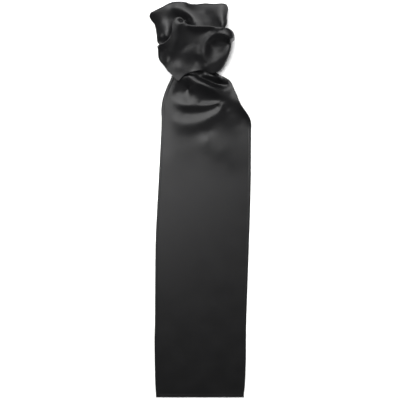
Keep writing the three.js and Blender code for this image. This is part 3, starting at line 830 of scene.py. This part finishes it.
WRAP_LINES = (
    FoldLine(
        "eye",
        2,
        (
            (-53.5, 384.5, 57), (-49.5, 388.5, 57.5), (-43.5, 388, 58), (-37.5, 383.5, 58),
            (-32, 377.5, 58), (-39, 377, 58), (-45.5, 379, 57.5), (-52, 382.5, 57.5),
        ),
    ),
    FoldLine("eye_hole", 1.5, ((-42.5, 380.5, 55), (-40, 380, 55))),
    FoldLine(
        "lip",
        2.5,
        (
            (-24, 371.5, 58), (-14, 369.5, 59), (4, 368.5, 59.5), (21, 368.5, 59.5), (36, 367, 60),
            (44.5, 365, 60),
        ),
    ),
    FoldLine(
        "under_lip", 5, ((-26.5, 363, 53.5), (-11.5, 361.5, 53), (6, 361, 53), (21, 361.5, 54))
    ),
    FoldLine("face", 7, ((-43.5, 352, 49.5), (-50, 338, 45), (-59, 326, 39.5), (-67, 318, 35))),
    FoldLine(
        "valley",
        5,
        (
            (-70, 301, 29.5), (-60, 306, 32), (-46, 314, 35.5), (-33, 326, 39), (-20, 332, 41.5),
            (-8, 337, 43.5),
        ),
    ),
    FoldLine(
        "beside_rim",
        4,
        (
            (21, 355, 53), (11, 346, 49), (2.5, 334, 44.5), (-1, 322, 41.5), (-1.5, 311, 39.5),
        ),
    ),
    FoldLine(
        "lobe_top",
        7,
        (
            (-61, 295, 29), (-50, 300, 31), (-38, 309, 34.5), (-26, 318, 38), (-14, 325, 40.5),
            (-5, 330, 42),
        ),
    ),
    FoldLine("dish", 8, ((-45, 283, 29), (-33, 292, 30.5), (-20, 294, 31), (-8, 297, 32.5))),
    FoldLine(
        "foot_crest",
        6,
        (
            (-58.5, 280, 27), (-45.5, 268, 26), (-30.5, 275, 28), (-15.5, 279, 28.5),
            (-0.5, 281, 31.5), (12.5, 281.5, 35), (25.5, 286, 36), (38, 293, 36), (49, 303, 35),
        ),
    ),
    FoldLine("lobe_edge", 3, ((-72.5, 294, 28), (-71, 285, 26.5))),
    FoldLine("left_side", 4, ((-80, 318, 27.5), (-80, 308, 25), (-79.5, 297, 23.5))),
    FoldLine(
        "rim",
        2.5,
        (
            (42, 364, 60), (38.5, 358, 58), (29.5, 351, 55), (20.5, 343.5, 51), (14.5, 334.5, 47.5),
            (11, 325, 45), (8.5, 314, 43), (8.5, 302, 40), (12, 292, 37.5),
        ),
    ),
    FoldLine("roll", 3, ((47, 360, 59), (56, 356.5, 59), (64, 351.5, 58), (70, 345, 55))),
    FoldLine("roll_lip", 3, ((41, 352, 57), (49, 350.5, 57.5), (57, 347, 57), (65, 342, 54.5))),
    FoldLine("arc", 4, ((38, 342.5, 47), (48, 341, 44.5), (59, 337, 40))),
    FoldLine("hollow", 7, ((20, 332, 42), (20, 320, 39), (25, 309, 37))),
    FoldLine("hollow_right", 7, ((42.5, 325, 37.5), (43.5, 314.5, 36))),
)


@dataclass(frozen=True)
class KnotWrap:
    """The loop of cloth round the knot: a front patch between four edges, sides that stand on
    the floor, and a back that lies flat on it. Its sizes are in millimetres.

    Attributes:
        edge_rounding: how softly the front turns at its edges.
        side_share: the height at which the sides begin, against the front's own height there.
        tuck: how far the sides' feet lie inwards.
        roll: how far from a side the front reaches its full height.
        back_draw: how far the back is longer than the front at either end.
        rows: along the knot.
        columns: of the front.
        side_steps: of a side.
        back_steps: of the back.
        edge: how the free edges above and below are turned over.
        wall: thickness of the cloth.
    """

    edge_rounding: float = 4.0
    side_share: float = 0.85
    tuck: float = 12.0
    roll: float = 5.0
    back_draw: float = 14.0
    rows: int = 170
    columns: int = 220
    side_steps: int = 14
    back_steps: int = 26
    edge: FoldedEdge = FoldedEdge()
    wall: float = 0.8

    def drape(self) -> Drape:
        """The folds of its front, between its edges, which meet at their ends."""
        edges = (
            FoldLine("top", self.edge_rounding, WRAP_TOP),
            FoldLine("foot", self.edge_rounding, WRAP_FOOT),
            FoldLine("left", self.edge_rounding, WRAP_LEFT[1:-1]),
            FoldLine("right", self.edge_rounding, WRAP_RIGHT[1:-1]),
        )
        return Drape(edges + WRAP_LINES)

    def build(self) -> bpy.types.Object:
        """Builds the wrap.

        The front's plan is a Coons patch: the mean of its top and foot, plus that of its left and
        right, less that of its corners.

        Returns:
            The piece.
        """
        top = evenly_along(WRAP_TOP, self.columns)[:, :2]
        foot = evenly_along(WRAP_FOOT, self.columns)[:, :2]
        left = evenly_along(WRAP_LEFT, self.rows)[:, :2]
        right = evenly_along(WRAP_RIGHT, self.rows)[:, :2]
        u = np.linspace(0, 1, self.columns)[None, :, None]
        r = np.linspace(0, 1, self.rows)[:, None, None]
        inset = self.edge.radius / np.hypot(*(left[0] - left[-1]))
        v = mix(inset, 1 - inset, r)
        corners = mix(mix(top[0], top[-1], u), mix(foot[0], foot[-1], u), r)
        plan = mix(top[None], foot[None], v) + mix(left[:, None], right[:, None], u) - corners
        x, y = plan[..., 0], plan[..., 1]
        free = self.drape().heights(x, y)
        near = np.minimum(x - x[:, :1], x[:, -1:] - x)
        z = free * mix(self.side_share, 1, roll_share(near, self.roll))
        front = np.stack([x, y, z], axis=2)
        draw = mix(-self.back_draw, self.back_draw, r[:, 0, 0])
        flat = np.zeros(self.rows)
        foot_right = np.stack([x[:, -1] - self.tuck, y[:, -1] + draw, flat], axis=1)
        foot_left = np.stack([x[:, 0] + self.tuck, y[:, 0] + draw, flat], axis=1)
        share = np.linspace(0, 1, self.back_steps + 1)[1:-1][None, :, None]
        back = mix(foot_right[:, None], foot_left[:, None], share)
        grid = np.concatenate(
            [
                front,
                side_columns(front[:, -1], foot_right, self.side_steps),
                back,
                side_columns(front[:, 0], foot_left, self.side_steps)[:, ::-1],
            ],
            axis=1,
        )
        out = outwards(grid, closed=True)
        above = self.edge.rows(grid[0], grid[1], out[0])[::-1]
        below = self.edge.rows(grid[-1], grid[-2], out[-1])
        piece = cloth_object("satin_wrap", np.concatenate([above, grid, below]), closed=True)
        give_wall(piece, self.wall)
        return piece


CROWN_OUTLINE: Rows = (
    (-74, 316, 11), (-79, 324, 10), (-86, 331, 9), (-91.5, 337, 8), (-93.5, 345, 7.5),
    (-94, 354, 7.5), (-96, 367, 7), (-99, 377, 8), (-105.5, 385, 10), (-109.2, 393, 13),
    (-106.5, 401, 17.5), (-94, 407.5, 20.5), (-80, 414.5, 23), (-68, 421, 23), (-56, 424.3, 24),
    (-44, 424.8, 24.5), (-32, 424, 23), (-22, 420.5, 20), (-9, 419.5, 16), (10, 421.5, 14),
    (30, 420.5, 12.5), (47, 421.5, 12.5), (56.5, 418.5, 15), (60, 408.5, 17.5), (58.5, 399, 19.5),
    (57.5, 390, 21.5), (58, 381, 23), (56, 373, 25), (52, 365, 26), (50, 356, 24), (48, 344, 22),
)
CROWN_MOUTH: Rows = ((-60, 318), (-40, 322), (-18, 327), (10, 333), (34, 338.5))
CROWN_LINES = (
    FoldLine(
        "hood_rim",
        5,
        (
            (-52, 411, 27), (-41.5, 409, 27.5), (-30.5, 403.5, 28), (-22, 396, 28.5),
            (-17.5, 386.5, 29.5), (-15.5, 375.5, 31.5),
        ),
    ),
    FoldLine("hood_floor", 6, ((-62, 388, 16), (-48, 391, 16.5), (-29.5, 384, 19.5))),
    FoldLine("puff", 9, ((-67, 371, 17.5), (-66, 361, 18), (-68, 352, 17))),
    FoldLine("puff_left", 6, ((-86, 372, 12.5), (-86, 360, 12.5))),
    FoldLine("puff_crease", 4, ((-56, 380, 14.5), (-55, 370, 14.5), (-56.5, 359.5, 14.5))),
    FoldLine("low_valley", 5, ((-71.5, 350, 17), (-86.5, 350, 13))),
    FoldLine("low_fold", 4, ((-71.5, 340, 12.5), (-84.5, 339, 10))),
    FoldLine("middle", 7, ((-5, 407, 22.5), (8, 402.5, 23), (8, 393, 26), (10, 381, 30.5))),
    FoldLine(
        "right_valley", 7, ((44, 407, 14), (46, 396, 16.5), (47.5, 384, 18.5), (48.5, 374, 21))
    ),
    FoldLine("inside_knot", 8, ((-13.5, 366, 38), (12.5, 366, 38), (36, 366, 32))),
    FoldLine("inside_left", 8, ((-39, 368, 23), (-52, 350, 18), (-73.5, 329.5, 10))),
    FoldLine("near_mouth", 8, ((-52, 325, 22), (-22, 334, 28), (8, 342.5, 32), (34, 346.5, 30))),
)


@dataclass(frozen=True)
class KnotCrown:
    """The folded cloth above the wrap: a profile carried along the crown's outline, from the
    upper side of its mouth out to the edge, round it and back underneath. Its sizes are in
    millimetres.

    Attributes:
        edge_rounding: how softly the cloth turns at the outline.
        side_share: the height at which the sides begin, against the top's own height there.
        tuck: how far the sides' feet lie inwards.
        roll: how far from the outline the top reaches its full height.
        under: the y at which the back is highest, the y from which it lies on the floor, and
            its height over the wrap's back.
        rows: along the outline.
        columns: from the mouth to the outline.
        crowding: how much closer the columns are together near the outline.
        side_steps: of the sides.
        back_steps: of the back.
        wall: thickness of the cloth.
    """

    edge_rounding: float = 5.0
    side_share: float = 0.75
    tuck: float = 6.0
    roll: float = 4.0
    under: tuple[float, float, float] = (352.0, 372.0, 2.3)
    rows: int = 300
    columns: int = 90
    crowding: float = 1.5
    side_steps: int = 12
    back_steps: int = 14
    wall: float = 0.8

    def build(self) -> bpy.types.Object:
        """Builds the crown.

        Returns:
            The piece.
        """
        outline = evenly_along(CROWN_OUTLINE, self.rows)[:, None, :2]
        mouth = evenly_along(CROWN_MOUTH, self.rows)[:, None]
        length = np.linalg.norm(outline - mouth, axis=2)
        share = 1 - (1 - np.linspace(0, 1, self.columns)) ** self.crowding
        plan = mix(mouth, outline, share[None, :, None])
        x, y = plan[..., 0], plan[..., 1]
        drape = Drape((FoldLine("outline", self.edge_rounding, CROWN_OUTLINE), *CROWN_LINES))
        near = (1 - share[None, :]) * length
        z = drape.heights(x, y) * mix(self.side_share, 1, roll_share(near, self.roll))
        front = np.stack([x, y, z], axis=2)
        foot_plan = mix(outline[:, 0], mouth[:, 0], self.tuck / length)
        foot = np.concatenate([foot_plan, self.under_height(foot_plan[:, 1:])], axis=1)
        steps = np.linspace(0, 1, self.back_steps + 1)[1:][None, :, None]
        back_plan = mix(foot_plan[:, None], mouth, steps)
        back = np.concatenate([back_plan, self.under_height(back_plan[..., 1:])], axis=2)
        side = side_columns(front[:, -1], foot, self.side_steps)
        piece = cloth_object("satin_crown", np.concatenate([front, side, back], axis=1))
        give_wall(piece, self.wall)
        return piece

    def under_height(self, y: Array) -> Array:
        """How high the crown's back lies, as it rises over the wrap's back."""
        low, high, height = self.under
        return height * (1 - smooth_step(y, low, high))


class Lamp(Enum):
    """The studio's soft lights."""

    KEY = "key"
    BACK = "back"
    FILL = "fill"


@dataclass(frozen=True)
class SoftLight:
    """A square soft light that faces the scarf.

    Attributes:
        place: where it hangs, in metres.
        size: of its side, in metres.
        power: in watts.
    """

    place: tuple[float, float, float]
    size: float
    power: float


LIGHTS = {
    Lamp.KEY: SoftLight((-0.33, 0.4, 1.2), 0.9, 25),
    Lamp.BACK: SoftLight((0, 1.15, 1.0), 1.0, 22),
    Lamp.FILL: SoftLight((0.7, -0.7, 1.0), 0.9, 2.5),
}


@dataclass(frozen=True)
class Studio:
    """A white floor, soft lights from the knot's end, and a camera straight above.

    Attributes:
        floor_half: half the floor's side, in metres.
        floor_drop: how far it lies below the scarf, in millimetres.
        paper: its colour.
        paper_roughness: how dull it is.
        paper_gloss: how strongly it mirrors, as the shader's specular level.
        aim: the place that the lights face, in metres.
        world_strength: of the white light from all round.
        camera_place: where the camera hangs, in metres.
        view_width: of the floor in the picture, in metres.
    """

    floor_half: float = 6.0
    floor_drop: float = 0.3
    paper: str = "#f7f7f7"
    paper_roughness: float = 0.9
    paper_gloss: float = 0.1
    aim: tuple[float, float, float] = (0, 0.05, 0)
    world_strength: float = 0.08
    camera_place: tuple[float, float, float] = (-0.0005, -0.001, 6.0)
    view_width: float = 0.86

    def floor(self) -> None:
        """Lays the pale floor that the scarf lies on."""
        half = self.floor_half / MM
        corners = ((-half, -half), (half, -half), (half, half), (-half, half))
        points = np.array([(x, y, -self.floor_drop) for x, y in corners])
        plane = mesh_object("floor", points, np.array([[0, 1, 2, 3]]))
        paper = bpy.data.materials.new("white_paper")
        paper.use_nodes = True
        shader = paper.node_tree.nodes["Principled BSDF"]
        shader.inputs["Base Color"].default_value = srgb(self.paper)
        shader.inputs["Roughness"].default_value = self.paper_roughness
        shader.inputs["Specular IOR Level"].default_value = self.paper_gloss
        plane.data.materials.append(paper)

    def hang(self, lamp: Lamp, light: SoftLight) -> None:
        """Hangs a light.

        Args:
            lamp: which one, for its name.
            light: its place, size and power.
        """
        data = bpy.data.lights.new(lamp.value, "AREA")
        data.shape = "SQUARE"
        data.size = light.size
        data.energy = light.power
        made = bpy.data.objects.new(lamp.value, data)
        made.location = light.place
        made.visible_camera = False
        ray = Vector(self.aim) - Vector(light.place)
        made.rotation_euler = ray.to_track_quat("-Z", "Y").to_euler()
        bpy.context.collection.objects.link(made)

    def build(self) -> None:
        """Sets the stage, the lights and the camera."""
        self.floor()
        for lamp, light in LIGHTS.items():
            self.hang(lamp, light)
        world = bpy.data.worlds.new("studio")
        world.use_nodes = True
        world.node_tree.nodes["Background"].inputs["Color"].default_value = (1, 1, 1, 1)
        world.node_tree.nodes["Background"].inputs["Strength"].default_value = self.world_strength
        bpy.context.scene.world = world
        data = bpy.data.cameras.new("camera")
        data.lens = data.sensor_width * self.camera_place[2] / self.view_width
        camera = bpy.data.objects.new("camera", data)
        camera.location = self.camera_place
        bpy.context.collection.objects.link(camera)
        bpy.context.scene.camera = camera
        bpy.context.scene.view_settings.view_transform = "Standard"


def main() -> None:
    logging.basicConfig(level=logging.INFO, format="%(name)s: %(message)s")
    Studio().build()
    satin = Satin().material()
    tail = Tail()
    panel = tail.panel()
    hem_left = tail.side_hem_strip("satin_hem_left", -1)
    hem_right = tail.side_hem_strip("satin_hem_right", 1)
    hem_foot = tail.foot_hem_strip("satin_hem_foot")
    wrap = KnotWrap().build()
    crown = KnotCrown().build()
    for piece, nodes, slot in (
        (panel, ("neck", "tail"), "satin"),
        (hem_left, ("hem_left",), "hem"),
        (hem_right, ("hem_right",), "hem"),
        (hem_foot, ("hem_foot",), "hem"),
        (wrap, ("knot_wrap",), "satin"),
        (crown, ("knot_crown",), "satin"),
    ):
        piece.data.materials.append(satin)
        settle(piece, nodes)
        log.info("%s: %d faces", piece.name, len(piece.data.polygons))


if __name__ == "__main__":
    main()
